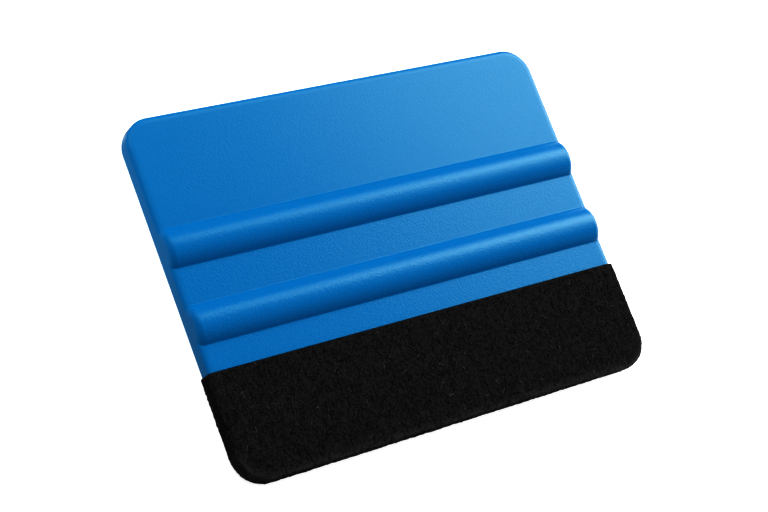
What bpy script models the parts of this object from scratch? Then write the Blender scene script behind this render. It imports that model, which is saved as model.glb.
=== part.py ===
"""A squeegee card for pressing film onto a surface, with a felt cover round its working edge.

The card lies on its back. X runs along the working edge, +Y points to the grip edge, +Z is up, out of
the face with the two grip ribs. The origin is the bottom centre of the whole object, so the back of
the felt is the plane z = 0. All lengths are in metres.
"""

import math

import bmesh
import bpy
from mathutils import Matrix, Vector

MM = 0.001

# The card's plate
CARD_WIDTH = 100 * MM
CARD_THICKNESS = 3.75 * MM
CORNER_RADIUS = 6.0 * MM
EDGE_ROUNDING = 0.75 * MM
BACK_ROUNDING = 0.5 * MM

# Down the card's length: a flat margin, the grip ribs with a channel between them, a flat, the felt
GRIP_EDGE_TO_RIB = 23.0 * MM
RIB_COUNT = 2
RIB_WIDTH = 8.15 * MM
CHANNEL_WIDTH = 7.65 * MM
RIB_TO_FELT = 5.45 * MM
FELT_REACH = 22.3 * MM

# The ribs' height, and their root, which is sunk in the plate
RIB_HEIGHT = 2.0 * MM
RIB_END_ROUNDING = 1.4 * MM
RIB_ROOT = 1.2 * MM

# The felt cover, the adhesive film under it and the tongue that they go round
FELT_THICKNESS = 0.9 * MM
FELT_PROUD = 0.55 * MM
FELT_EXTRA_ROUNDING = 0.5 * MM
FILM_THICKNESS = 0.1 * MM
FILM_MARGIN = 1.0 * MM
SEAT_GAP = 0.3 * MM
TONGUE_ROUNDING = 0.3 * MM
TONGUE_ROOT = 2.0 * MM

# How finely the round stretches are cut
CORNER_SEGMENTS = 12
EDGE_SEGMENTS = 4
RIB_SEGMENTS = 20
RIB_END_SEGMENTS = 5

# How far a cutter runs past what it cuts, and how close two places are taken as one
OVERRUN = 2.0 * MM
SAME_PLACE = 0.003 * MM
SHARP_ANGLE = math.radians(35)
FLAT_ANGLE = math.radians(1)

# Places that follow from the sizes above
RIB_PITCH = RIB_WIDTH + CHANNEL_WIDTH
RIBS_WIDTH = (RIB_COUNT - 1) * RIB_PITCH + RIB_WIDTH
CARD_LENGTH = GRIP_EDGE_TO_RIB + RIBS_WIDTH + RIB_TO_FELT + FELT_REACH
FILM_SEAT = SEAT_GAP + FILM_THICKNESS + SEAT_GAP
REBATE = FILM_SEAT + FELT_THICKNESS - FELT_PROUD
BASE_TO_BACK = FELT_PROUD
BASE_TO_FRONT = BASE_TO_BACK + CARD_THICKNESS
GRIP_EDGE_Y = (CARD_LENGTH + FELT_PROUD) / 2
FIRST_RIB_Y = GRIP_EDGE_Y - GRIP_EDGE_TO_RIB - RIB_WIDTH / 2
WORKING_EDGE_Y = GRIP_EDGE_Y - CARD_LENGTH
REBATE_Y = WORKING_EDGE_Y + FELT_REACH
FELT_TOP_Y = REBATE_Y - SEAT_GAP
HALF_WIDTH = CARD_WIDTH / 2

BLUE = (0.006, 0.125, 0.47, 1.0)
BLACK = (0.006, 0.006, 0.007, 1.0)
AMBER = (0.62, 0.52, 0.30, 1.0)


def clear_scene():
    """Starts from an empty file."""
    for item in list(bpy.data.objects):
        bpy.data.objects.remove(item, do_unlink=True)


def collection(name):
    """A collection linked to the scene."""
    group = bpy.data.collections.new(name)
    bpy.context.scene.collection.children.link(group)
    return group


def material(name, colour, roughness, metallic):
    """A plain Principled material."""
    made = bpy.data.materials.new(name)
    made.use_nodes = True
    shader = made.node_tree.nodes["Principled BSDF"]
    shader.inputs["Base Color"].default_value = colour
    shader.inputs["Roughness"].default_value = roughness
    shader.inputs["Metallic"].default_value = metallic
    made.diffuse_color = colour
    return made


def add_object(name, mesh, group):
    """A mesh object in one of the collections."""
    item = bpy.data.objects.new(name, mesh)
    group.objects.link(item)
    return item


def bevel_edges(shape, keep, offset, segments):
    """Rounds the edges of a bmesh that keep(edge) picks."""
    edges = [edge for edge in shape.edges if keep(edge)]
    bmesh.ops.bevel(
        shape, geom=edges, offset=offset, offset_type="OFFSET", segments=segments,
        profile=0.5, affect="EDGES", clamp_overlap=False,
    )


def both_ends(edge, test):
    """True if both ends of an edge pass the test."""
    return all(test(vertex.co) for vertex in edge.verts)


def near(value, target):
    """True for a coordinate on a plane, to well under the smallest size here."""
    return abs(value - target) < SAME_PLACE


def slab(low, high, corner_radius, round_low, round_high, edges):
    """A box from corner low to corner high, as a bmesh.

    Its upright corners at the low or the high Y are rounded in plan, and edges gives the rounding of the
    outline on the bottom and on the top. An end that isn't rounded in plan keeps its outline sharp.
    """
    low, high = Vector(low), Vector(high)
    shape = bmesh.new()
    bmesh.ops.create_cube(shape, size=1)
    size = high - low
    bmesh.ops.transform(
        shape, matrix=Matrix.Translation((low + high) / 2) @ Matrix.Diagonal(size.to_4d()), verts=shape.verts
    )
    rounded_ends = [y for y, chosen in ((low.y, round_low), (high.y, round_high)) if chosen]
    open_ends = [y for y, chosen in ((low.y, round_low), (high.y, round_high)) if not chosen]

    def is_corner(edge):
        upright = near(edge.verts[0].co.x, edge.verts[1].co.x) and near(edge.verts[0].co.y, edge.verts[1].co.y)
        return upright and any(near(edge.verts[0].co.y, y) for y in rounded_ends)

    bevel_edges(shape, is_corner, corner_radius, CORNER_SEGMENTS)
    for z, rounding in zip((low.z, high.z), edges):
        if not rounding:
            continue

        def on_outline(edge, z=z):
            level = both_ends(edge, lambda co: near(co.z, z))
            open_edge = any(both_ends(edge, lambda co, y=y: near(co.y, y)) for y in open_ends)
            return level and not open_edge

        bevel_edges(shape, on_outline, rounding, EDGE_SEGMENTS)
    return shape


def to_object(name, shape, group):
    """Turns a bmesh into an object."""
    mesh = bpy.data.meshes.new(name)
    shape.to_mesh(mesh)
    shape.free()
    return add_object(name, mesh, group)


def rib_arc_radius():
    """Radius of the arc that is RIB_WIDTH wide and RIB_HEIGHT high."""
    half = RIB_WIDTH / 2
    return (half * half + RIB_HEIGHT * RIB_HEIGHT) / (2 * RIB_HEIGHT)


def rib_outline():
    """The rib's cross-section round its base line's middle: an arc over a root that is sunk in the plate."""
    radius = rib_arc_radius()
    half_angle = math.asin(RIB_WIDTH / 2 / radius)
    points = []
    for step in range(RIB_SEGMENTS + 1):
        angle = half_angle * (2 * step / RIB_SEGMENTS - 1)
        points.append((radius * math.sin(angle), radius * (math.cos(angle) - 1) + RIB_HEIGHT))
    points.append((RIB_WIDTH / 2, -RIB_ROOT))
    points.append((-RIB_WIDTH / 2, -RIB_ROOT))
    return points


def rib_object(name, centre_y, group):
    """One grip rib, as wide as the card, with its two end outlines rounded over the top."""
    curve = bpy.data.curves.new(name, "CURVE")
    curve.dimensions = "2D"
    curve.fill_mode = "BOTH"
    curve.extrude = HALF_WIDTH
    outline = rib_outline()
    spline = curve.splines.new("POLY")
    spline.points.add(len(outline) - 1)
    for point, (y, z) in zip(spline.points, outline):
        point.co = (y, z, 0, 1)
    spline.use_cyclic_u = True
    drawn = add_object(name + "_outline", curve, group)
    mesh = bpy.data.meshes.new_from_object(drawn.evaluated_get(bpy.context.evaluated_depsgraph_get()))
    bpy.data.objects.remove(drawn, do_unlink=True)

    # The outline was drawn in X and Y and extruded along Z: turn it to Y and Z, along X
    turn = Matrix(((0, 0, 1, 0), (1, 0, 0, centre_y), (0, 1, 0, BASE_TO_FRONT), (0, 0, 0, 1)))
    shape = bmesh.new()
    shape.from_mesh(mesh)
    bpy.data.meshes.remove(mesh)
    bmesh.ops.transform(shape, matrix=turn, verts=shape.verts)
    bmesh.ops.remove_doubles(shape, verts=shape.verts, dist=SAME_PLACE)
    bmesh.ops.dissolve_limit(shape, angle_limit=FLAT_ANGLE, verts=shape.verts, edges=shape.edges)
    bmesh.ops.recalc_face_normals(shape, faces=shape.faces)
    bottom = BASE_TO_FRONT - RIB_ROOT

    def at_the_end(edge):
        on_end = any(both_ends(edge, lambda co, x=x: near(co.x, x)) for x in (-HALF_WIDTH, HALF_WIDTH))
        return on_end and not both_ends(edge, lambda co: near(co.z, bottom))

    bevel_edges(shape, at_the_end, RIB_END_ROUNDING, RIB_END_SEGMENTS)
    return to_object(name, shape, group)


def boolean(target, tool, operation):
    """Adds an exact Boolean to a target."""
    modifier = target.modifiers.new(operation.title(), "BOOLEAN")
    modifier.operation = operation
    modifier.solver = "EXACT"
    modifier.object = tool


def hide_tool(item):
    """Marks a cutter or a guide, which isn't part of the object."""
    item.hide_render = True
    item.display_type = "WIRE"


def make_card(parts, tools, finish):
    """The moulding: plate, tongue and ribs in one body."""
    plate = slab(
        (-HALF_WIDTH, REBATE_Y, BASE_TO_BACK),
        (HALF_WIDTH, GRIP_EDGE_Y, BASE_TO_FRONT),
        CORNER_RADIUS, False, True, (BACK_ROUNDING, EDGE_ROUNDING),
    )
    card = to_object("blade_card", plate, parts)
    card.data.materials.append(finish)
    tongue = slab(
        (-HALF_WIDTH + REBATE, WORKING_EDGE_Y + REBATE, BASE_TO_BACK + REBATE),
        (HALF_WIDTH - REBATE, REBATE_Y + TONGUE_ROOT, BASE_TO_FRONT - REBATE),
        CORNER_RADIUS - REBATE, True, False, (TONGUE_ROUNDING, TONGUE_ROUNDING),
    )
    tongue_tool = to_object("tongue_shape", tongue, tools)
    hide_tool(tongue_tool)
    boolean(card, tongue_tool, "UNION")
    for index in range(RIB_COUNT):
        rib = rib_object(f"rib_shape_{index + 1}", FIRST_RIB_Y - index * RIB_PITCH, tools)
        hide_tool(rib)
        boolean(card, rib, "UNION")
    return card


def sleeve(name, inset, thickness, top_y, rounding, parts, tools, finish):
    """A pocket round the working edge, open at top_y.

    Its outer surface lies inset inside the card's outline, and its wall is thickness, also at the rounded
    outline, where the hollow's rounding is smaller by the wall.
    """
    outer = slab(
        (-HALF_WIDTH + inset, WORKING_EDGE_Y + inset, BASE_TO_BACK + inset),
        (HALF_WIDTH - inset, top_y, BASE_TO_FRONT - inset),
        CORNER_RADIUS - inset, True, False, (rounding, rounding),
    )
    item = to_object(name, outer, parts)
    item.data.materials.append(finish)
    hollow = inset + thickness
    hollow_rounding = max(rounding - thickness, 0)
    inner = slab(
        (-HALF_WIDTH + hollow, WORKING_EDGE_Y + hollow, BASE_TO_BACK + hollow),
        (HALF_WIDTH - hollow, top_y + OVERRUN, BASE_TO_FRONT - hollow),
        CORNER_RADIUS - hollow, True, False, (hollow_rounding, hollow_rounding),
    )
    tool = to_object(name + "_hollow", inner, tools)
    hide_tool(tool)
    boolean(item, tool, "DIFFERENCE")
    return item


def shade(item):
    """Smooth over the round stretches, sharp at the real edges."""
    item.data.shade_smooth()
    item.data.set_sharp_from_angle(angle=SHARP_ANGLE)


def main():
    clear_scene()
    parts = collection("felt_edge_squeegee")
    tools = collection("shapes_for_cutting")
    blue = material("blue_polypropylene", BLUE, 0.42, 0.0)
    black = material("black_felt", BLACK, 0.95, 0.0)
    amber = material("clear_adhesive", AMBER, 0.30, 0.0)
    pieces = [make_card(parts, tools, blue)]
    pieces.append(sleeve(
        "adhesive_film", REBATE - SEAT_GAP - FILM_THICKNESS, FILM_THICKNESS, FELT_TOP_Y - FILM_MARGIN,
        TONGUE_ROUNDING + SEAT_GAP + FILM_THICKNESS, parts, tools, amber,
    ))
    pieces.append(sleeve(
        "felt_cover", -FELT_PROUD, FELT_THICKNESS, FELT_TOP_Y,
        EDGE_ROUNDING + FELT_EXTRA_ROUNDING, parts, tools, black,
    ))
    for item in pieces:
        shade(item)


main()
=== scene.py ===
# %% [markdown]
# Felt-edge squeegee card
#
# The object is a flat hand card of moulded plastic with two grip ribs, and a strip of felt folded round its
# working edge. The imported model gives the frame: where each piece lies and how large it is. This lesson
# dresses that frame with finely modelled pieces and procedural finishes. Every length is in metres.

# %% Load the frame and keep its box
import math

import bmesh
import bpy
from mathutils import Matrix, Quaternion, Vector


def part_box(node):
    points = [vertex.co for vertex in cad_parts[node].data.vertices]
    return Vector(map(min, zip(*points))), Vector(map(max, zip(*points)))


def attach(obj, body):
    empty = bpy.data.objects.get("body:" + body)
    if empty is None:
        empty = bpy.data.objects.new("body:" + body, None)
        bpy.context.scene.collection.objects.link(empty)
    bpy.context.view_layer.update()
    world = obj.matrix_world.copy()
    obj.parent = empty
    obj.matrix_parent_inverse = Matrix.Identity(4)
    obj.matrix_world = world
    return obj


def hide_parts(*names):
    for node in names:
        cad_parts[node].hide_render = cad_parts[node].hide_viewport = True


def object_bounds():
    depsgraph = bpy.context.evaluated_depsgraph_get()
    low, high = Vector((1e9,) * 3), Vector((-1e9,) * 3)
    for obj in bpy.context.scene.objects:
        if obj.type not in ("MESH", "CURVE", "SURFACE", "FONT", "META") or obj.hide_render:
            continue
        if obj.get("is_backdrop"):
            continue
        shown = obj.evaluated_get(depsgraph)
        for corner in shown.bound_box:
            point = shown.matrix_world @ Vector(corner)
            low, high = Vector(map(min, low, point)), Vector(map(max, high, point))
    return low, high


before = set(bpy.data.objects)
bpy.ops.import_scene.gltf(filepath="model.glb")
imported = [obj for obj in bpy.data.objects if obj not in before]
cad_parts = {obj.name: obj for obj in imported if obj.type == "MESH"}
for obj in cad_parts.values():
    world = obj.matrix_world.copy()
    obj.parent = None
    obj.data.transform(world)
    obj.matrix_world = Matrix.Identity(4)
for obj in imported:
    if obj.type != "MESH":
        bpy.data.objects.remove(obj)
MM = 0.001
CAD_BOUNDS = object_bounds()
CARD_LOW, CARD_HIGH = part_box("blade_card")
FELT_LOW, FELT_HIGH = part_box("felt_cover")
print("the card spans", [round(side / MM, 2) for side in CARD_HIGH - CARD_LOW], "mm")
print("the felt spans", [round(side / MM, 2) for side in FELT_HIGH - FELT_LOW], "mm")

# %% [markdown]
# Sizes
#
# The outer sizes come from the frame. The few that a box can't give, such as a rounding or the height of a
# rib, are repeated here with the model's own values, so that the dressed pieces lie exactly where the plain
# ones do. Two finer details of the real card are added: the front edge's rounding reaches further in than
# it drops, and a small fillet lies at the foot of each rib.

# %% The card's sizes
CORNER_RADIUS = 6.0 * MM
EDGE_ROUNDING = 0.75 * MM
EDGE_REACH = 1.3 * MM
BACK_ROUNDING = 0.5 * MM
RIB_HEIGHT = 2.0 * MM
RIB_WIDTH = 8.15 * MM
RIB_PITCH = 15.8 * MM
RIB_COUNT = 2
RIB_END_ROUNDING = 1.4 * MM
RIB_FOOT_FILLET = 0.2 * MM
GRIP_EDGE_TO_RIB = 23.0 * MM
SEAT_GAP = 0.3 * MM
REBATE = 1.05 * MM
TONGUE_ROUNDING = 0.3 * MM
TONGUE_ROOT = 2.0 * MM

HALF_WIDTH = CARD_HIGH.x
GRIP_EDGE_Y = CARD_HIGH.y
FRONT_Z = CARD_HIGH.z - RIB_HEIGHT
BACK_Z = CARD_LOW.z
REBATE_Y = FELT_HIGH.y + SEAT_GAP
FIRST_RIB_Y = GRIP_EDGE_Y - GRIP_EDGE_TO_RIB - RIB_WIDTH / 2
RIB_ARC_RADIUS = ((RIB_WIDTH / 2) ** 2 + RIB_HEIGHT ** 2) / (2 * RIB_HEIGHT)
print("the plate is", round((FRONT_Z - BACK_Z) / MM, 2), "mm thick")
print("the ribs' arc has a radius of", round(RIB_ARC_RADIUS / MM, 2), "mm")

# %% [markdown]
# Camera
#
# The photograph was taken from the left of the card, a little below its middle, with a long lens. A camera
# is easiest to read as the place where it stands, the point that it looks at and the turn about that line.

# %% Camera
CAMERA_PLACE = Vector((-204.987, -69.968, 314.666)) * MM
CAMERA_TARGET = Vector((-3.918, -1.015, 4.3)) * MM
CAMERA_ROLL = math.radians(53.296)
LENS_MM = 86.888
SENSOR_MM = 36.0


def new_object(name, data):
    """An object in the scene that shows the given data."""
    item = bpy.data.objects.new(name, data)
    bpy.context.scene.collection.objects.link(item)
    return item


sight = CAMERA_TARGET - CAMERA_PLACE
camera = new_object("camera", bpy.data.cameras.new("camera"))
camera.location = CAMERA_PLACE
camera.rotation_mode = "QUATERNION"
camera.rotation_quaternion = sight.to_track_quat("-Z", "Y") @ Quaternion((0, 0, 1), CAMERA_ROLL)
camera.data.lens = LENS_MM
camera.data.sensor_width = SENSOR_MM
bpy.context.scene.camera = camera
print("the camera stands", round(sight.length / MM), "mm from the card")

# %% [markdown]
# Three helpers
#
# Colours are picked as sRGB hex values, and Blender's sockets want linear numbers, so one function turns
# them. Another adds a node to any tree: its settings are keywords, and its inputs are values or other
# nodes' outputs. The third starts a material and hands back its tree and its shader.


# %% Helpers for colours and nodes
def colour(hex_value):
    """Linear RGBA of an sRGB hex colour."""
    channels = [int(hex_value[index:index + 2], 16) / 255 for index in (1, 3, 5)]
    return tuple(c / 12.92 if c <= 0.04045 else ((c + 0.055) / 1.055) ** 2.4 for c in channels) + (1.0,)


def add_node(tree, kind, inputs=None, **settings):
    """Adds a node with its settings. An input is a value, or a socket to link from."""
    node = tree.nodes.new(kind)
    for name, value in settings.items():
        setattr(node, name, value)
    for key, value in (inputs or {}).items():
        if isinstance(value, bpy.types.NodeSocket):
            tree.links.new(value, node.inputs[key])
        else:
            node.inputs[key].default_value = value
    return node


def new_material(name):
    """A material with a bare Principled shader, as (material, its node tree, the shader)."""
    made = bpy.data.materials.new(name)
    made.use_nodes = True
    return made, made.node_tree, made.node_tree.nodes["Principled BSDF"]


# %% [markdown]
# Moulded polypropylene
#
# The card is injection moulded in blue polypropylene. The mould's face was etched, so the plate has a
# shallow pebbled grain with cells about 0.4 mm apart and finer grain among them. It is deeper from the
# first rib on towards the felt, and deeper again on the ribs' crests, while the walls and the edge rounding
# came off the polished part of the mould. The grain is a height, so it goes through a Bump node, and a
# value stored on the mesh says how deep it is there. The plastic's gloss has a faint cast, set by the
# Specular Tint.

# %% Material: the moulding
PEBBLE = 0.37 * MM
FINE_GRAIN = 0.25 * MM
FINE_SHARE = 0.4
GRAIN_DEPTH = 0.028 * MM
CARD_BLUE = "#036DA4"
GLOSS_TINT = "#D3FFDA"
POLYPROPYLENE_IOR = 1.49
MOULDED_ROUGHNESS = 0.26

blue, tree, shader = new_material("moulded_blue_polypropylene")
shader.inputs["Base Color"].default_value = colour(CARD_BLUE)
shader.inputs["IOR"].default_value = POLYPROPYLENE_IOR
shader.inputs["Roughness"].default_value = MOULDED_ROUGHNESS
shader.inputs["Specular Tint"].default_value = colour(GLOSS_TINT)
place = add_node(tree, "ShaderNodeTexCoord").outputs["Object"]
etched = add_node(tree, "ShaderNodeAttribute", attribute_name="etched").outputs["Fac"]
pebbles = add_node(tree, "ShaderNodeTexVoronoi", {"Vector": place, "Scale": 1 / PEBBLE}, feature="SMOOTH_F1")
fine = add_node(tree, "ShaderNodeTexNoise", {"Vector": place, "Scale": 1 / FINE_GRAIN, "Detail": 2.0})
grain = add_node(tree, "ShaderNodeMix", {
    0: FINE_SHARE, 2: pebbles.outputs["Distance"], 3: fine.outputs["Fac"]})
height = add_node(tree, "ShaderNodeMath", {0: grain.outputs[0], 1: etched}, operation="MULTIPLY").outputs[0]
bump = add_node(tree, "ShaderNodeBump", {"Height": height, "Distance": GRAIN_DEPTH, "Strength": 1.0})
tree.links.new(bump.outputs["Normal"], shader.inputs["Normal"])
print(blue.name, "has", len(tree.nodes), "nodes")

# %% [markdown]
# A skin that wraps an edge
#
# The card and the felt have the same kind of shape: a flat plate with one open end, whose other three sides
# turn over a rounded edge. Bevelled blocks would fight where ribs and roundings meet, so each is laid out
# as a skin. Posts stand round the outline, and a profile of insets and heights runs over the edge at each
# post. A grid fills the flat middle of the front and of the back.


# %% Helper: the wrapped skin
WELD_DISTANCE = 0.001 * MM


def spaced(start, stop, step):
    """Evenly spaced places from start to stop, at most a step and a thousandth apart."""
    count = max(1, math.ceil(abs(stop - start) / step - 0.001))
    return [start + (stop - start) * index / count for index in range(count + 1)]


def quarter_round(radius, count):
    """(inset, drop) along a quarter circle, from the wall up to the flat."""
    turns = [math.pi / 2 * index / count for index in range(count + 1)]
    return [(radius * (1 - math.cos(turn)), radius * (1 - math.sin(turn))) for turn in turns]


def outline_posts(half_width, radius, across, along, corner_steps, inward):
    """Posts round the outline, each an anchor and the direction out of it.

    across and along are the X and Y places of the middle grid, and along ends at the corners' centres.
    inward is +1 where the closed side lies towards +Y, and -1 where it lies towards -Y.
    """
    side, end = half_width - radius, along[-1]
    turns = [math.pi / 2 * index / corner_steps for index in range(1, corner_steps)]
    posts = [(-side, y, -1, 0) for y in along]
    posts += [(-side, end, -math.cos(turn), inward * math.sin(turn)) for turn in turns]
    posts += [(x, end, 0, inward) for x in across]
    posts += [(side, end, math.sin(turn), inward * math.cos(turn)) for turn in turns]
    return posts + [(side, y, 1, 0) for y in reversed(along)]


def wrapped_skin(name, posts, profile, radius, across, along):
    """A mesh that runs the profile over the outline. Each profile point is (inset, height, on the front)."""
    shape = bmesh.new()
    inset_layer = shape.verts.layers.float.new("inset")
    front_layer = shape.verts.layers.float.new("front")

    def point(x, y, z, inset, front):
        vertex = shape.verts.new((x, y, z))
        vertex[inset_layer], vertex[front_layer] = inset, front
        return vertex

    def fill(rows):
        for near_row, far_row in zip(rows, rows[1:]):
            for a, b, c, d in zip(near_row, near_row[1:], far_row[1:], far_row):
                shape.faces.new((a, b, c, d))

    fill([[
        point(x + dx * (radius - inset), y + dy * (radius - inset), z, inset, front)
        for x, y, dx, dy in posts] for inset, z, front in profile])
    for inset, z, front in (profile[0], profile[-1]):
        fill([[point(x, y, z, inset, front) for x in across] for y in along])
    bmesh.ops.remove_doubles(shape, verts=shape.verts, dist=WELD_DISTANCE)
    bmesh.ops.recalc_face_normals(shape, faces=shape.faces)
    mesh = bpy.data.meshes.new(name)
    shape.to_mesh(mesh)
    shape.free()
    return mesh


# %% [markdown]
# The plate
#
# The plate's skin needs rows that are close together only where the ribs will rise, and insets that are
# close together only near the rounded edge. The flat stretches take long faces without any loss. The front
# edge is a quarter of an ellipse, which looks softer than a quarter circle, and the back edge is a plain
# quarter circle. The end at the rebate is a plain flat face.

# %% The plate's skin
ROW_STEP = 2.0 * MM
COLUMN_STEP = 4.0 * MM
RIB_ROW_STEP = 0.1 * MM
RIB_ROW_MARGIN = 0.5 * MM
FRONT_EDGE_STEPS = 12
RIB_END_STEPS = 14
BACK_EDGE_STEPS = 8
CARD_CORNER_STEPS = 24

rib_centres = [FIRST_RIB_Y - index * RIB_PITCH for index in range(RIB_COUNT)]
card_rows = []
start = REBATE_Y
for centre in sorted(rib_centres):
    low = centre - RIB_WIDTH / 2 - RIB_ROW_MARGIN
    high = centre + RIB_WIDTH / 2 + RIB_ROW_MARGIN
    card_rows += spaced(start, low, ROW_STEP)[:-1] + spaced(low, high, RIB_ROW_STEP)[:-1]
    start = high
card_rows += spaced(start, GRIP_EDGE_Y - CORNER_RADIUS, ROW_STEP)
card_columns = spaced(-HALF_WIDTH + CORNER_RADIUS, HALF_WIDTH - CORNER_RADIUS, COLUMN_STEP)


def plate_drop(inset):
    """How far the front lies under its flat at an inset from the outline."""
    share = max(1 - inset / EDGE_REACH, 0)
    return EDGE_ROUNDING * (1 - math.sqrt(1 - share ** 2))


front_points = quarter_round(EDGE_REACH, FRONT_EDGE_STEPS) + quarter_round(RIB_END_ROUNDING, RIB_END_STEPS)
front_insets = {inset for inset, drop in front_points} | {CORNER_RADIUS / 2, CORNER_RADIUS}
card_profile = [(inset, FRONT_Z - plate_drop(inset), 1) for inset in sorted(front_insets, reverse=True)]
card_profile += [(inset, BACK_Z + drop, 0) for inset, drop in quarter_round(BACK_ROUNDING, BACK_EDGE_STEPS)]
card_profile += [(CORNER_RADIUS / 4, BACK_Z, 0), (CORNER_RADIUS, BACK_Z, 0)]
plate_mesh = wrapped_skin(
    "plate", outline_posts(HALF_WIDTH, CORNER_RADIUS, card_columns, card_rows, CARD_CORNER_STEPS, 1),
    card_profile, CORNER_RADIUS, card_columns, card_rows)
print("the plate's skin has", len(plate_mesh.polygons), "faces")

# %% [markdown]
# Grip ribs
#
# The two ribs follow one rule: an arc across the card, repeated at a pitch, that is drawn in round its own
# centre where it reaches the side walls. Geometry Nodes suit that well. The tree finds the nearest rib's
# line for each point, works out the arc's height there and raises the skin to it. A smooth maximum instead
# of a plain one leaves the small fillet at the rib's foot. The same tree stores how deep the mould's
# etching is at each point, which the moulding's material reads.


# %% Helper: a node tree with named inputs, run once
def new_tree(name, sizes):
    """A geometry tree with named number inputs, as (tree, its input node, its output node)."""
    made = bpy.data.node_groups.new(name, "GeometryNodeTree")
    made.interface.new_socket("Geometry", in_out="INPUT", socket_type="NodeSocketGeometry")
    for label, value in sizes.items():
        kind = "NodeSocketInt" if isinstance(value, int) else "NodeSocketFloat"
        made.interface.new_socket(label, in_out="INPUT", socket_type=kind)
    made.interface.new_socket("Geometry", in_out="OUTPUT", socket_type="NodeSocketGeometry")
    return made, made.nodes.new("NodeGroupInput"), made.nodes.new("NodeGroupOutput")


def apply_modifiers(item):
    """Makes what an object's modifiers give its plain mesh, and removes them."""
    mesh = bpy.data.meshes.new_from_object(item.evaluated_get(bpy.context.evaluated_depsgraph_get()))
    item.modifiers.clear()
    item.data = mesh


def run_tree(name, mesh, made, sizes):
    """Runs a tree on a mesh and returns a new object at the origin with the plain result."""
    item = new_object(name, mesh)
    modifier = item.modifiers.new(made.name, "NODES")
    modifier.node_group = made
    for socket in made.interface.items_tree:
        if socket.in_out == "INPUT" and socket.name in sizes:
            modifier[socket.identifier] = sizes[socket.name]
    apply_modifiers(item)
    return item


# %% Tree: the ribs' rule
RIB_GRAIN = 0.5
LOW_GRAIN = 0.5

foot_angle = math.asin(RIB_WIDTH / 2 / RIB_ARC_RADIUS)
rib_sizes = {
    "Rib count": RIB_COUNT, "First rib": FIRST_RIB_Y, "Pitch": RIB_PITCH, "Arc radius": RIB_ARC_RADIUS,
    "Arc centre height": FRONT_Z + RIB_HEIGHT - RIB_ARC_RADIUS, "End rounding": RIB_END_ROUNDING,
    "Blend": RIB_FOOT_FILLET * math.tan(foot_angle / 2) * math.tan(foot_angle), "Edge reach": EDGE_REACH,
    "Rib height": RIB_HEIGHT, "Rib grain": RIB_GRAIN, "Low grain": LOW_GRAIN,
    "Low line": FIRST_RIB_Y + RIB_WIDTH / 2,
}
tree, given, final = new_tree("grip_ribs", rib_sizes)
known = {label: given.outputs[label] for label in rib_sizes}
known["inset"] = add_node(tree, "GeometryNodeInputNamedAttribute", {"Name": "inset"}).outputs[0]
known["front"] = add_node(tree, "GeometryNodeInputNamedAttribute", {"Name": "front"}).outputs[0]
split = add_node(tree, "ShaderNodeSeparateXYZ", {0: tree.nodes.new("GeometryNodeInputPosition").outputs[0]})
known["y"], known["z"] = split.outputs["Y"], split.outputs["Z"]
# Each step is (its name, the Math node's operation, its terms: inputs, earlier steps or numbers).
rib_rule = [
    ("from first", "SUBTRACT", "First rib", "y"),
    ("ribs away", "DIVIDE", "from first", "Pitch"),
    ("nearest", "ROUND", "ribs away"),
    ("last rib", "SUBTRACT", "Rib count", 1.0),
    ("not past", "MINIMUM", "nearest", "last rib"),
    ("rib", "MAXIMUM", "not past", 0.0),
    ("rib line", "MULTIPLY", "rib", "Pitch"),
    ("aside", "SUBTRACT", "from first", "rib line"),
    ("aside squared", "MULTIPLY", "aside", "aside"),
    ("to the flat", "SUBTRACT", "End rounding", "inset"),
    ("rounded part", "MAXIMUM", "to the flat", 0.0),
    ("rounded squared", "MULTIPLY", "rounded part", "rounded part"),
    ("end squared", "MULTIPLY", "End rounding", "End rounding"),
    ("leg squared", "SUBTRACT", "end squared", "rounded squared"),
    ("leg", "SQRT", "leg squared"),
    ("drawn in", "SUBTRACT", "End rounding", "leg"),
    ("radius", "SUBTRACT", "Arc radius", "drawn in"),
    ("radius squared", "MULTIPLY", "radius", "radius"),
    ("rise squared", "SUBTRACT", "radius squared", "aside squared"),
    ("safe rise", "MAXIMUM", "rise squared", 0.0),
    ("rise", "SQRT", "safe rise"),
    ("rib height", "ADD", "rise", "Arc centre height"),
    ("raised", "SMOOTH_MAX", "z", "rib height", "Blend"),
    ("above plate", "SUBTRACT", "rib height", "z"),
    ("rib part", "GREATER_THAN", "above plate", 0.0),
    ("flat part", "GREATER_THAN", "inset", "Edge reach"),
    ("either", "MAXIMUM", "rib part", "flat part"),
    ("rise above", "MAXIMUM", "above plate", 0.0),
    ("rise share", "DIVIDE", "rise above", "Rib height"),
    ("rib deeper", "MULTIPLY", "rise share", "Rib grain"),
    ("low part", "LESS_THAN", "y", "Low line"),
    ("low deeper", "MULTIPLY", "low part", "Low grain"),
    ("both deeper", "ADD", "rib deeper", "low deeper"),
    ("flat share", "ADD", "both deeper", 1.0),
    ("grain share", "MULTIPLY", "either", "flat share"),
    ("etched", "MULTIPLY", "grain share", "front"),
]
for label, operation, *terms in rib_rule:
    values = {index: known.get(term, term) for index, term in enumerate(terms)}
    known[label] = add_node(tree, "ShaderNodeMath", values, operation=operation).outputs[0]
print("the ribs' rule takes", len(rib_rule), "steps")

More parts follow.
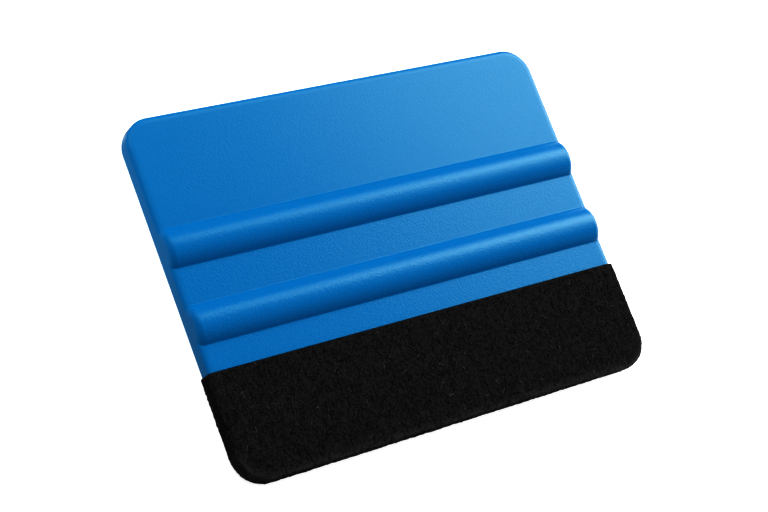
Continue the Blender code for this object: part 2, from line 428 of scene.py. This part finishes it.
# %% Tree: raise the ribs and store the etching
raised = add_node(
    tree, "ShaderNodeCombineXYZ", {"X": split.outputs["X"], "Y": known["y"], "Z": known["raised"]})
marked = add_node(tree, "GeometryNodeStoreNamedAttribute", {
    "Geometry": given.outputs["Geometry"], "Name": "etched", "Value": known["etched"]})
moved = add_node(tree, "GeometryNodeSetPosition", {
    "Geometry": marked.outputs[0], "Selection": known["front"], "Position": raised.outputs[0]})
real = add_node(tree, "GeometryNodeRealizeInstances", {"Geometry": moved.outputs[0]})
finished = add_node(tree, "GeometryNodeSetMaterial", {"Geometry": real.outputs[0], "Material": blue})
tree.links.new(finished.outputs[0], final.inputs[0])

card = run_tree("card_moulding", plate_mesh, tree, rib_sizes)
print("the card rises to", round(max(vertex.co.z for vertex in card.data.vertices) / MM, 3), "mm")

# %% [markdown]
# The tongue
#
# Under the felt the plate carries on as a thinner tongue, so that the felt lies nearly flush. The plate's
# open end is closed with one flat face, and the tongue, a block with rounded corners, is joined on with a
# Boolean.

# %% Helper: a block with rounded corners
NEAR = 0.01 * MM
RIM_STEPS = 4


def rounded_block(name, low, high, radius, rounding, steps):
    """A block whose two upright corners at its lowest Y are rounded, and its outline's edges too."""
    shape = bmesh.new()
    bmesh.ops.create_cube(shape, size=1)
    for vertex in shape.verts:
        vertex.co = [lo if co < 0 else hi for co, lo, hi in zip(vertex.co, low, high)]

    def at_end(edge, y):
        return all(abs(vertex.co.y - y) < NEAR for vertex in edge.verts)

    def upright(edge):
        return abs(edge.verts[0].co.z - edge.verts[1].co.z) > NEAR

    corners = [edge for edge in shape.edges if upright(edge) and at_end(edge, low.y)]
    bmesh.ops.bevel(shape, geom=corners, offset=radius, segments=steps, profile=0.5, affect="EDGES")
    rim = [edge for edge in shape.edges if not upright(edge) and not at_end(edge, high.y)]
    bmesh.ops.bevel(shape, geom=rim, offset=rounding, segments=RIM_STEPS, profile=0.5, affect="EDGES")
    mesh = bpy.data.meshes.new(name)
    shape.to_mesh(mesh)
    shape.free()
    return new_object(name, mesh)


# %% Close the plate and join the tongue
TONGUE_STEPS = 16
SMOOTH_ANGLE = math.radians(40)

shape = bmesh.new()
shape.from_mesh(card.data)
bmesh.ops.holes_fill(shape, edges=[edge for edge in shape.edges if edge.is_boundary], sides=0)
bmesh.ops.recalc_face_normals(shape, faces=shape.faces)
shape.to_mesh(card.data)
shape.free()

tongue = rounded_block(
    "tongue", Vector((-HALF_WIDTH + REBATE, CARD_LOW.y, BACK_Z + REBATE)),
    Vector((HALF_WIDTH - REBATE, REBATE_Y + TONGUE_ROOT, FRONT_Z - REBATE)),
    CORNER_RADIUS - REBATE, TONGUE_ROUNDING, TONGUE_STEPS)
join = card.modifiers.new("Join tongue", "BOOLEAN")
join.operation, join.solver, join.object = "UNION", "EXACT", tongue
apply_modifiers(card)
bpy.data.objects.remove(tongue, do_unlink=True)
card.data.materials.clear()
card.data.materials.append(blue)
card.data.shade_smooth()
card.data.set_sharp_from_angle(angle=SMOOTH_ANGLE)
print("the moulding has", len(card.data.polygons), "faces")
print("its tongue is", round((FRONT_Z - BACK_Z - 2 * REBATE) / MM, 2), "mm thick")

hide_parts("blade_card")
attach(card, "root")

# %% [markdown]
# Felt
#
# The felt is needled polyester with a short nap. Its fibres lie every way with a slight lean down the card,
# and it drinks the light. The material is near black, mottled where the nap lies differently, nearly fully
# rough, with a little sheen from the standing fibre ends. Along the folded rim a lighter grey is added: a
# painted highlight where the standing fibres catch the light, and nap rubbed lighter there, most of all at
# the working edge. Real fibres are about 0.02 mm thick, too fine to show, so the woolly relief is drawn
# coarser, as strands about 0.25 mm apart.

# %% Material: the felt
FIBRE_SPACING = 0.25 * MM
STRAND_STRETCH = (1.0, 0.75, 1.0)
NAP_PATCH = 1.6 * MM
PATCH_STRETCH = (1.0, 0.35, 1.0)
PATCH_SHARE = 0.12
NAP_RELIEF = 0.035 * MM
FELT_TONES = ((0.4, "#1A1A1A"), (0.68, "#333334"))

felt_black, tree, shader = new_material("needled_black_polyester_felt")
for label, value in (("Roughness", 0.95), ("IOR", 1.45), ("Specular IOR Level", 0.1),
                     ("Sheen Weight", 0.02), ("Sheen Roughness", 0.5)):
    shader.inputs[label].default_value = value
place = add_node(tree, "ShaderNodeTexCoord").outputs["Object"]
lean = add_node(tree, "ShaderNodeMapping", {"Vector": place, "Scale": STRAND_STRETCH})
strands = add_node(tree, "ShaderNodeTexNoise", {
    "Vector": lean.outputs[0], "Scale": 1 / FIBRE_SPACING,
    "Detail": 3.0, "Roughness": 0.6, "Distortion": 0.3})
brushed = add_node(tree, "ShaderNodeMapping", {"Vector": place, "Scale": PATCH_STRETCH})
patches = add_node(tree, "ShaderNodeTexNoise", {
    "Vector": brushed.outputs[0], "Scale": 1 / NAP_PATCH, "Detail": 2.0})
tone = add_node(tree, "ShaderNodeMix", {0: PATCH_SHARE, 2: strands.outputs["Fac"], 3: patches.outputs["Fac"]})
ramp = add_node(tree, "ShaderNodeValToRGB", {"Fac": tone.outputs[0]})
for element, (position, hex_value) in zip(ramp.color_ramp.elements, FELT_TONES):
    element.position, element.color = position, colour(hex_value)
bump = add_node(tree, "ShaderNodeBump", {
    "Height": strands.outputs["Fac"], "Distance": NAP_RELIEF, "Strength": 1.0})
tree.links.new(bump.outputs["Normal"], shader.inputs["Normal"])
print(felt_black.name, "has", len(tree.nodes), "nodes so far")

# %% Material: the felt's rim, worn lighter and with a painted highlight
# Painted highlight on the rim, where the standing fibres catch the light, and nap rubbed lighter there.
RIM_WEAR_AND_LIGHT_WIDTH = 4.0 * MM
RIM_WEAR_AND_LIGHT_SHARES = ((0.0, "#BCBCBC"), (0.08, "#FFFFFF"), (0.25, "#808080"), (0.42, "#2E2E2E"), (0.75, "#000000"))
RIM_WEAR_AND_LIGHT_GREY = "#6A6A6C"
RIM_WEAR_AND_LIGHT_AT_FOLD = 0.26
RIM_WEAR_AND_LIGHT_AT_SIDES = 0.05
FOLD_REACH = 3.0 * MM
SIDES_FROM = 9.0 * MM

inset = add_node(tree, "ShaderNodeAttribute", attribute_name="inset").outputs["Fac"]
across = add_node(tree, "ShaderNodeMath", {0: inset, 1: RIM_WEAR_AND_LIGHT_WIDTH}, operation="DIVIDE").outputs[0]
rim_wear_and_light = add_node(tree, "ShaderNodeValToRGB", {"Fac": across})
for position, hex_value in RIM_WEAR_AND_LIGHT_SHARES[1:-1]:
    rim_wear_and_light.color_ramp.elements.new(position)
for element, (position, hex_value) in zip(rim_wear_and_light.color_ramp.elements, RIM_WEAR_AND_LIGHT_SHARES):
    element.position, element.color = position, colour(hex_value)
along = add_node(tree, "ShaderNodeSeparateXYZ", {0: place}).outputs["Y"]
at_fold = add_node(tree, "ShaderNodeMapRange", {
    "Value": along, "From Min": FELT_LOW.y + FOLD_REACH, "From Max": FELT_LOW.y + SIDES_FROM,
    "To Min": RIM_WEAR_AND_LIGHT_AT_FOLD, "To Max": RIM_WEAR_AND_LIGHT_AT_SIDES}).outputs[0]
# The rim's painted highlight and wear are added onto the felt's colour here.
share = add_node(tree, "ShaderNodeMath", {0: rim_wear_and_light.outputs["Color"], 1: at_fold}, operation="MULTIPLY")
lighter = add_node(
    tree, "ShaderNodeMix", {0: share.outputs[0], 6: ramp.outputs["Color"], 7: colour(RIM_WEAR_AND_LIGHT_GREY)},
    data_type="RGBA", blend_type="ADD")
tree.links.new(lighter.outputs[2], shader.inputs["Base Color"])
print(felt_black.name, "has", len(tree.nodes), "nodes")

# %% [markdown]
# The folded felt
#
# One cut of felt is folded round the working edge and pressed against the card's sides. It is laid out with
# the same skin, from the cut edge on the front, over the rounded edge, to the cut edge on the back. A small
# tree then roughens it with two sizes of noise, more along the folded rim, wears the cut edge round and
# lets it wander a little, and Solidify gives it the felt's thickness.

# %% The felt's skin
FELT_THICKNESS = 0.9 * MM
FELT_FRONT_ROUNDING = 1.15 * MM
FELT_BACK_ROUNDING = 1.35 * MM
FELT_GRID = 0.5 * MM
FELT_ROW_STEP = 0.3 * MM
FELT_COLUMN_STEP = 0.65 * MM
CUT_EDGE_CLEARANCE = 0.04 * MM
CUT_EDGE_ROUNDING = 0.35 * MM
CUT_EDGE_STEPS = 5
FELT_EDGE_STEPS = 7
FELT_CORNER_STEPS = 32

felt_half = FELT_HIGH.x
felt_radius = CORNER_RADIUS + felt_half - HALF_WIDTH
cut_y = REBATE_Y - CUT_EDGE_CLEARANCE
felt_rows = [cut_y - inset for inset, drop in quarter_round(CUT_EDGE_ROUNDING, CUT_EDGE_STEPS)]
felt_rows += spaced(felt_rows[-1], FELT_LOW.y + felt_radius, FELT_ROW_STEP)[1:]
felt_columns = spaced(-felt_half + felt_radius, felt_half - felt_radius, FELT_COLUMN_STEP)

front_round = reversed(quarter_round(FELT_FRONT_ROUNDING, FELT_EDGE_STEPS))
back_round = quarter_round(FELT_BACK_ROUNDING, FELT_EDGE_STEPS)
wall = spaced(FELT_HIGH.z - FELT_FRONT_ROUNDING, FELT_LOW.z + FELT_BACK_ROUNDING, FELT_GRID)
felt_profile = [(inset, FELT_HIGH.z, 1) for inset in spaced(felt_radius, FELT_FRONT_ROUNDING, FELT_GRID)[:-1]]
felt_profile += [(inset, FELT_HIGH.z - drop, 1) for inset, drop in front_round]
felt_profile += [(0.0, z, 0) for z in wall[1:-1]]
felt_profile += [(inset, FELT_LOW.z + drop, 0) for inset, drop in back_round]
felt_profile += [(inset, FELT_LOW.z, 0) for inset in spaced(FELT_BACK_ROUNDING, felt_radius, FELT_GRID)[1:]]
felt_mesh = wrapped_skin(
    "felt", outline_posts(felt_half, felt_radius, felt_columns, felt_rows, FELT_CORNER_STEPS, -1),
    felt_profile, felt_radius, felt_columns, felt_rows)
print("the felt's skin has", len(felt_mesh.polygons), "faces")

# %% Tree: the rule of the nap and the cut edge
felt_sizes = {
    "Cut edge": cut_y, "Edge rounding": CUT_EDGE_ROUNDING,
    "Edge wander": 0.15 * MM, "Wander length": 2.0 * MM,
    "Lump height": 0.06 * MM, "Lump size": 2.2 * MM, "Tuft height": 0.10 * MM, "Tuft size": 0.5 * MM,
    "Rim width": 1.0 * MM, "Rim tufts": 0.35 * MM, "Noise level": 0.6,
}
tree, given, final = new_tree("felt_nap", felt_sizes)
known = {label: given.outputs[label] for label in felt_sizes}
position = tree.nodes.new("GeometryNodeInputPosition").outputs[0]
normal = tree.nodes.new("GeometryNodeInputNormal").outputs[0]
known["y"] = add_node(tree, "ShaderNodeSeparateXYZ", {0: position}).outputs["Y"]
known["inset"] = add_node(tree, "GeometryNodeInputNamedAttribute", {"Name": "inset"}).outputs[0]
for label, size in (("lumps", "Lump size"), ("tufts", "Tuft size"), ("wander", "Wander length")):
    scale = add_node(tree, "ShaderNodeMath", {0: 1.0, 1: known[size]}, operation="DIVIDE").outputs[0]
    known[label] = add_node(
        tree, "ShaderNodeTexNoise", {"Vector": position, "Scale": scale, "Detail": 1.0}).outputs["Fac"]
felt_rule = [
    ("from cut", "SUBTRACT", "Cut edge", "y"),
    ("to the flat", "SUBTRACT", "Edge rounding", "from cut"),
    ("rounded part", "MAXIMUM", "to the flat", 0.0),
    ("rounded squared", "MULTIPLY", "rounded part", "rounded part"),
    ("edge squared", "MULTIPLY", "Edge rounding", "Edge rounding"),
    ("leg squared", "SUBTRACT", "edge squared", "rounded squared"),
    ("safe leg", "MAXIMUM", "leg squared", 0.0),
    ("leg", "SQRT", "safe leg"),
    ("drop", "SUBTRACT", "Edge rounding", "leg"),
    ("lump part", "SUBTRACT", "lumps", "Noise level"),
    ("lump", "MULTIPLY", "lump part", "Lump height"),
    ("tuft part", "SUBTRACT", "tufts", "Noise level"),
    ("to the rim", "SUBTRACT", "Rim width", "inset"),
    ("rim part", "MAXIMUM", "to the rim", 0.0),
    ("rim share", "DIVIDE", "rim part", "Rim width"),
    ("rim rise", "MULTIPLY", "rim share", "Rim tufts"),
    ("tuft rise", "ADD", "rim rise", "Tuft height"),
    ("tuft", "MULTIPLY", "tuft part", "tuft rise"),
    ("relief", "ADD", "lump", "tuft"),
    ("rise", "SUBTRACT", "relief", "drop"),
    ("in the rounding", "DIVIDE", "rounded part", "Edge rounding"),
    ("wander back", "MULTIPLY", "wander", "Edge wander"),
    ("wander here", "MULTIPLY", "wander back", "in the rounding"),
    ("back", "MULTIPLY", "wander here", -1.0),
]
for label, operation, *terms in felt_rule:
    values = {index: known.get(term, term) for index, term in enumerate(terms)}
    known[label] = add_node(tree, "ShaderNodeMath", values, operation=operation).outputs[0]
print("the nap's rule takes", len(felt_rule), "steps")

# %% Tree: raise the nap, and give the felt its thickness
lift = add_node(tree, "ShaderNodeVectorMath", {0: normal, "Scale": known["rise"]}, operation="SCALE")
sideways = add_node(tree, "ShaderNodeCombineXYZ", {"Y": known["back"]})
offset = add_node(tree, "ShaderNodeVectorMath", {0: lift.outputs[0], 1: sideways.outputs[0]}, operation="ADD")
moved = add_node(tree, "GeometryNodeSetPosition", {
    "Geometry": given.outputs["Geometry"], "Offset": offset.outputs[0]})
real = add_node(tree, "GeometryNodeRealizeInstances", {"Geometry": moved.outputs[0]})
finished = add_node(tree, "GeometryNodeSetMaterial", {"Geometry": real.outputs[0], "Material": felt_black})
tree.links.new(finished.outputs[0], final.inputs[0])

felt = run_tree("felt_wrap", felt_mesh, tree, felt_sizes)
napped_skin = felt.data.copy()
wall_maker = felt.modifiers.new("Thickness", "SOLIDIFY")
wall_maker.thickness, wall_maker.offset, wall_maker.use_even_offset = FELT_THICKNESS, -1, True
apply_modifiers(felt)
felt.data.shade_smooth()
print("the felt has", len(felt.data.polygons), "faces")

# %% [markdown]
# Loose fibres
#
# Needled felt shows stray fibres, about half a millimetre to a little over one long, that lie on the nap
# and stand off at the folds. They repeat by the thousand, so Geometry Nodes scatter short curves over the
# felt's skin with a fixed seed, bend them with noise, press them onto the surface and give each a
# three-sided tube. Most are as dark as the felt, and a few are lighter. A tube is 0.07 mm thick, coarser
# than a real fibre.

# %% Material: the fibres
FIBRE_TONES = ((0.0, "#121212"), (0.93, "#2A2A2B"), (1.0, "#707071"))
FIBRE_ROUGHNESS = 0.7
FIBRE_GLOSS = 0.15

fibre_grey, tree, shader = new_material("loose_polyester_fibre")
shader.inputs["Roughness"].default_value = FIBRE_ROUGHNESS
shader.inputs["Specular IOR Level"].default_value = FIBRE_GLOSS
shade = add_node(tree, "ShaderNodeAttribute", attribute_name="fibre_shade").outputs["Fac"]
ramp = add_node(tree, "ShaderNodeValToRGB", {"Fac": shade})
for position, hex_value in FIBRE_TONES[1:-1]:
    ramp.color_ramp.elements.new(position)
for element, (position, hex_value) in zip(ramp.color_ramp.elements, FIBRE_TONES):
    element.position, element.color = position, colour(hex_value)
tree.links.new(ramp.outputs["Color"], shader.inputs["Base Color"])
print(fibre_grey.name, "has", len(tree.nodes), "nodes")

# %% Tree: scatter the fibres
fibre_sizes = {
    "Fibres per square metre": 1400000.0, "Length": 1.0 * MM, "Shortest share": 0.45, "Longest share": 1.25,
    "Fibre radius": 0.035 * MM, "Strand points": 4, "Lean power": 3.0, "Lift": 0.03 * MM, "Bend": 0.9 * MM,
    "Bend size": 0.7 * MM, "Pressed share": 0.85,
    "Scatter seed": 7, "Turn seed": 11, "Length seed": 13, "Shade seed": 17,
}
tree, given, final = new_tree("felt_fibres", fibre_sizes)
known = {label: given.outputs[label] for label in fibre_sizes}
skin = given.outputs["Geometry"]
scatter = add_node(tree, "GeometryNodeDistributePointsOnFaces", {
    "Mesh": skin, "Density": known["Fibres per square metre"], "Seed": known["Scatter seed"]})
swing = add_node(
    tree, "FunctionNodeRandomValue", {2: -1.0, 3: 1.0, "Seed": known["Turn seed"]}, data_type="FLOAT")
lean = add_node(tree, "ShaderNodeMath", {0: swing.outputs[1], 1: known["Lean power"]}, operation="POWER")
angle = add_node(tree, "ShaderNodeMath", {0: lean.outputs[0], 1: math.pi / 2}, operation="MULTIPLY")
upright = add_node(tree, "FunctionNodeAlignRotationToVector", {"Vector": scatter.outputs["Normal"]}, axis="Z")
down_card = add_node(tree, "FunctionNodeAlignRotationToVector", {
    "Rotation": upright.outputs[0], "Vector": (0.0, 1.0, 0.0)}, axis="X", pivot_axis="Z")
turn = add_node(tree, "ShaderNodeCombineXYZ", {"Z": angle.outputs[0]})
turned = add_node(tree, "FunctionNodeRotateRotation", {
    "Rotation": down_card.outputs[0], "Rotate By": turn.outputs[0]}, rotation_space="LOCAL")
line = add_node(tree, "GeometryNodeCurvePrimitiveLine", {"Start": (-0.5, 0.0, 0.0), "End": (0.5, 0.0, 0.0)})
strand = add_node(
    tree, "GeometryNodeResampleCurve", {"Curve": line.outputs[0], "Count": known["Strand points"]})
length_share = add_node(tree, "FunctionNodeRandomValue", {
    2: known["Shortest share"], 3: known["Longest share"], "Seed": known["Length seed"]}, data_type="FLOAT")
length = add_node(
    tree, "ShaderNodeMath", {0: length_share.outputs[1], 1: known["Length"]}, operation="MULTIPLY")
placed = add_node(tree, "GeometryNodeInstanceOnPoints", {
    "Points": scatter.outputs["Points"], "Instance": strand.outputs[0],
    "Rotation": turned.outputs[0], "Scale": length.outputs[0]})
shade = add_node(
    tree, "FunctionNodeRandomValue", {2: 0.0, 3: 1.0, "Seed": known["Shade seed"]}, data_type="FLOAT")
marked = add_node(tree, "GeometryNodeStoreNamedAttribute", {
    "Geometry": placed.outputs[0], "Name": "fibre_shade", "Value": shade.outputs[1]}, domain="INSTANCE")
loose = add_node(tree, "GeometryNodeRealizeInstances", {"Geometry": marked.outputs[0]}).outputs[0]
print(tree.name, "has", len(tree.nodes), "nodes so far")

# %% Tree: bend the fibres, press them on and give them a tube
NOISE_MIDDLE = (0.5, 0.5, 0.5)

position = tree.nodes.new("GeometryNodeInputPosition").outputs[0]
scale = add_node(tree, "ShaderNodeMath", {0: 1.0, 1: known["Bend size"]}, operation="DIVIDE").outputs[0]
wave = add_node(tree, "ShaderNodeTexNoise", {"Vector": position, "Scale": scale, "Detail": 0.0})
centred = add_node(
    tree, "ShaderNodeVectorMath", {0: wave.outputs["Color"], 1: NOISE_MIDDLE}, operation="SUBTRACT")
bend = add_node(
    tree, "ShaderNodeVectorMath", {0: centred.outputs[0], "Scale": known["Bend"]}, operation="SCALE")
bent = add_node(tree, "GeometryNodeSetPosition", {"Geometry": loose, "Offset": bend.outputs[0]}).outputs[0]
nearest = add_node(tree, "GeometryNodeProximity", {"Geometry": skin}, target_element="FACES")
pressed = add_node(tree, "ShaderNodeMix", {
    0: known["Pressed share"], 4: position, 5: nearest.outputs["Position"]}, data_type="VECTOR").outputs[1]
skin_normal = add_node(tree, "GeometryNodeSampleNearestSurface", {
    "Mesh": skin, "Value": tree.nodes.new("GeometryNodeInputNormal").outputs[0]}, data_type="FLOAT_VECTOR")
raise_by = add_node(
    tree, "ShaderNodeVectorMath", {0: skin_normal.outputs[0], "Scale": known["Lift"]}, operation="SCALE")
laid = add_node(tree, "GeometryNodeSetPosition", {
    "Geometry": bent, "Position": pressed, "Offset": raise_by.outputs[0]}).outputs[0]
section = add_node(
    tree, "GeometryNodeCurvePrimitiveCircle", {"Resolution": 3, "Radius": known["Fibre radius"]})
tube = add_node(tree, "GeometryNodeCurveToMesh", {
    "Curve": laid, "Profile Curve": section.outputs[0], "Fill Caps": True}).outputs[0]
real = add_node(tree, "GeometryNodeRealizeInstances", {"Geometry": tube})
finished = add_node(tree, "GeometryNodeSetMaterial", {"Geometry": real.outputs[0], "Material": fibre_grey})
tree.links.new(finished.outputs[0], final.inputs[0])

fibres = run_tree("felt_fibres", napped_skin, tree, fibre_sizes)
print("the fibres have", len(fibres.data.polygons), "faces")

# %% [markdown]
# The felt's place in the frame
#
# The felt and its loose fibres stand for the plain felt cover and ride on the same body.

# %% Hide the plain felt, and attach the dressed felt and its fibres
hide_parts("felt_cover")
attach(felt, "root")
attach(fibres, "root")

# %% [markdown]
# Adhesive film
#
# The felt is held by pressure-sensitive adhesive. The film is hidden between felt and tongue, but whoever
# takes the felt off sees it: clear amber, glossy, with the fine orange-peel surface of a coated film.

# %% Material: the adhesive film
FILM_AMBER = "#CFBE95"
FILM_RIPPLE = 1.2 * MM
FILM_RELIEF = 0.01 * MM

film, tree, shader = new_material("coated_acrylic_adhesive")
shader.inputs["Base Color"].default_value = colour(FILM_AMBER)
for label, value in (("IOR", 1.47), ("Roughness", 0.25), ("Transmission Weight", 0.5)):
    shader.inputs[label].default_value = value
place = add_node(tree, "ShaderNodeTexCoord").outputs["Object"]
ripple = add_node(tree, "ShaderNodeTexNoise", {"Vector": place, "Scale": 1 / FILM_RIPPLE, "Detail": 2.0})
bump = add_node(tree, "ShaderNodeBump", {"Height": ripple.outputs["Fac"], "Distance": FILM_RELIEF})
tree.links.new(bump.outputs["Normal"], shader.inputs["Normal"])
film_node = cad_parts["adhesive_film"]
for slot in film_node.material_slots:
    slot.material = film
print(film_node.name, "has", len(film_node.material_slots), "material slot")

# %% [markdown]
# Floor
#
# The card lies on plain white paper, lit until it has no tone of its own. The paper glows a little for
# that, keeps the card's soft shadow, and is clear from below, so that the card's back can be looked at. It
# is hidden from reflected rays, because the sheets in the next step give the card the paper's light.

# %% Floor
FLOOR_HALF = 600 * MM
PAPER_WHITE = "#F4F4F2"
PAPER_ROUGHNESS = 0.9
PAPER_GLOW = 0.38
GLOW_WHITE = "#FFFFFF"

shape = bmesh.new()
bmesh.ops.create_grid(shape, x_segments=1, y_segments=1, size=FLOOR_HALF)
floor_mesh = bpy.data.meshes.new("floor")
shape.to_mesh(floor_mesh)
shape.free()
floor = new_object("floor", floor_mesh)
floor.visible_glossy = False
floor.visible_diffuse = False
paper, tree, shader = new_material("matt_white_paper")
shader.inputs["Base Color"].default_value = colour(PAPER_WHITE)
shader.inputs["Roughness"].default_value = PAPER_ROUGHNESS
shader.inputs["Emission Color"].default_value = colour(GLOW_WHITE)
shader.inputs["Emission Strength"].default_value = PAPER_GLOW
clear = add_node(tree, "ShaderNodeBsdfTransparent")
behind = add_node(tree, "ShaderNodeNewGeometry").outputs["Backfacing"]
either = add_node(tree, "ShaderNodeMixShader", {0: behind, 1: shader.outputs[0], 2: clear.outputs[0]})
tree.links.new(either.outputs[0], tree.nodes["Material Output"].inputs["Surface"])
floor_mesh.materials.append(paper)
floor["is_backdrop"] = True
print("the floor is", round(2 * FLOOR_HALF, 2), "m wide")

# %% [markdown]
# The paper's light on the card
#
# White paper throws soft light back at the plastic, and the plastic mirrors it. On the photographed card
# both are weaker in front of the card than behind it, which one plain floor can't give. So two sheets that
# the camera doesn't see lie just under the floor: one gives the soft bounce and the other the mirror image.
# The glow of each is a sum of fades across it, and is even under the card itself, so that the back is
# evenly lit.


# %% Two glowing sheets under the floor
SHEET_DEPTH = 0.5 * MM
UNDER_CARD_GLOW = 0.9
UNDER_CARD_FADE = 2.0 * MM
# Each fade is (direction, where it starts, where it stops, glow at the start, glow at the stop).
BOUNCE_FADES = (
    ((0, 1, 0), -30 * MM, 30 * MM, 0.35, 1.2),
    ((1, 0, 0), 20 * MM, 60 * MM, 0.0, 1.4),
)
MIRROR_FADES = (((1, 1, 0), -15 * MM, 25 * MM, 0.2, 0.8),)


def glowing_sheet(name, fades):
    """A copy of the floor, just under it, whose glow is a sum of fades."""
    sheet = new_object(name, floor_mesh.copy())
    sheet.location.z = -SHEET_DEPTH
    sheet.visible_camera = False
    sheet.visible_shadow = False
    glow, tree, shader = new_material(name + "_glow")
    shader.inputs["Base Color"].default_value = colour("#000000")
    shader.inputs["Specular IOR Level"].default_value = 0.0
    shader.inputs["Emission Color"].default_value = colour(GLOW_WHITE)
    place = add_node(tree, "ShaderNodeTexCoord").outputs["Object"]
    total = 0.0
    for direction, start, stop, first, last in fades:
        along = add_node(tree, "ShaderNodeVectorMath", {0: place, 1: direction}, operation="DOT_PRODUCT")
        fade = add_node(tree, "ShaderNodeMapRange", {
            "Value": along.outputs["Value"], "From Min": start, "From Max": stop,
            "To Min": first, "To Max": last}, interpolation_type="SMOOTHSTEP")
        total = add_node(tree, "ShaderNodeMath", {0: fade.outputs[0], 1: total}, operation="ADD").outputs[0]
    where = add_node(tree, "ShaderNodeSeparateXYZ", {0: place})
    aside = add_node(tree, "ShaderNodeMath", {0: where.outputs["X"]}, operation="ABSOLUTE").outputs[0]
    aside = add_node(tree, "ShaderNodeMath", {0: aside, 1: HALF_WIDTH}, operation="SUBTRACT").outputs[0]
    ahead = add_node(tree, "ShaderNodeMath", {0: where.outputs["Y"]}, operation="ABSOLUTE").outputs[0]
    ahead = add_node(tree, "ShaderNodeMath", {0: ahead, 1: GRIP_EDGE_Y}, operation="SUBTRACT").outputs[0]
    outside = add_node(tree, "ShaderNodeMath", {0: aside, 1: ahead}, operation="MAXIMUM").outputs[0]
    share = add_node(tree, "ShaderNodeMapRange", {
        "Value": outside, "From Min": -UNDER_CARD_FADE, "From Max": 0.0, "To Min": 0.0, "To Max": 1.0})
    strength = add_node(tree, "ShaderNodeMix", {0: share.outputs[0], 2: UNDER_CARD_GLOW, 3: total})
    tree.links.new(strength.outputs[0], shader.inputs["Emission Strength"])
    sheet.data.materials.clear()
    sheet.data.materials.append(glow)
    sheet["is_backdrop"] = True
    return sheet


bounce = glowing_sheet("bounce_sheet", BOUNCE_FADES)
bounce.visible_glossy = False
mirror = glowing_sheet("mirror_sheet", MIRROR_FADES)
mirror.visible_diffuse = False
print("the sheets lie", round(SHEET_DEPTH / MM, 2), "mm under the floor")

# %% [markdown]
# Light
#
# The card is lit softly from its right and from behind, as by a row of soft boxes. The key, near and front
# lights brighten the plate towards its right end, and the crest light draws the gleam along the ribs. The
# back light falls across the grip edge, and its gleam is a weaker light of its own at the same place,
# because its mirror image on the real card is faint. The side, low and end lights reach the rounded edges
# and the ribs' flanks, and an even world fills the rest. The Standard view with very high contrast keeps
# the paper pure white and the blue deep.

# %% Lights
# Each light is (name, azimuth, elevation, distance, width as a share of the distance, watts).
LIGHTS = (
    ("key_light", 25, 35, 0.3, 0.54, 0.067),
    ("near_light", 27, 43, 0.2, 0.45, 0.01),
    ("crest_light", 42, 40, 0.8, 0.5, 0.72),
    ("front_light", 5, 40, 0.3, 0.54, 0.045),
    ("back_light", 104, 50, 0.8, 0.8, 3.6),
    ("back_gleam", 104, 50, 0.8, 0.8, 1.6),
    ("side_light", 20, 27, 0.8, 0.54, 1.3),
    ("low_light", 8, 11, 0.8, 0.54, 0.85),
    ("end_light", -20, 8, 0.8, 0.54, 0.8),
)


def towards(azimuth, elevation, distance):
    """The place at a distance from the card, azimuth from +X towards +Y, both angles in degrees."""
    turn, rise = math.radians(azimuth), math.radians(elevation)
    level = math.cos(rise)
    return Vector((level * math.cos(turn), level * math.sin(turn), math.sin(rise))) * distance


def soft_light(name, place, width, power):
    """A square soft light that faces the card."""
    item = new_object(name, bpy.data.lights.new(name, "AREA"))
    item.data.shape, item.data.size, item.data.energy = "SQUARE", width, power
    item.visible_camera = False
    item.location = place
    item.rotation_mode = "QUATERNION"
    item.rotation_quaternion = (-place).to_track_quat("-Z", "Y")
    return item


lights = {
    name: soft_light(name, towards(azimuth, elevation, distance), share * distance, power)
    for name, azimuth, elevation, distance, share, power in LIGHTS
}
lights["back_light"].visible_glossy = False
lights["back_gleam"].visible_diffuse = False
print(len(lights), "soft lights stand round the card")

# %% The world and the view
WORLD_FILL = 0.355

world = bpy.data.worlds.new("studio")
world.use_nodes = True
background = world.node_tree.nodes["Background"]
background.inputs["Color"].default_value = colour(GLOW_WHITE)
background.inputs["Strength"].default_value = WORLD_FILL
world.cycles_visibility.glossy = False
bpy.context.scene.world = world
bpy.context.scene.view_settings.view_transform = "Standard"
bpy.context.scene.view_settings.look = "Very High Contrast"
print("the world fills with", WORLD_FILL)

# %% [markdown]
# Finish
#
# Both boxes are printed, so that the dressed card's size can be held against the plain model's.

# %% Print both boxes and finish
VISUAL_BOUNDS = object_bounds()
boxes = {
    "cad": [list(corner) for corner in CAD_BOUNDS],
    "visual": [list(corner) for corner in VISUAL_BOUNDS],
}
for label, (low, high) in boxes.items():
    print(label, "box", [round(value / MM, 2) for value in low], [round(value / MM, 2) for value in high])
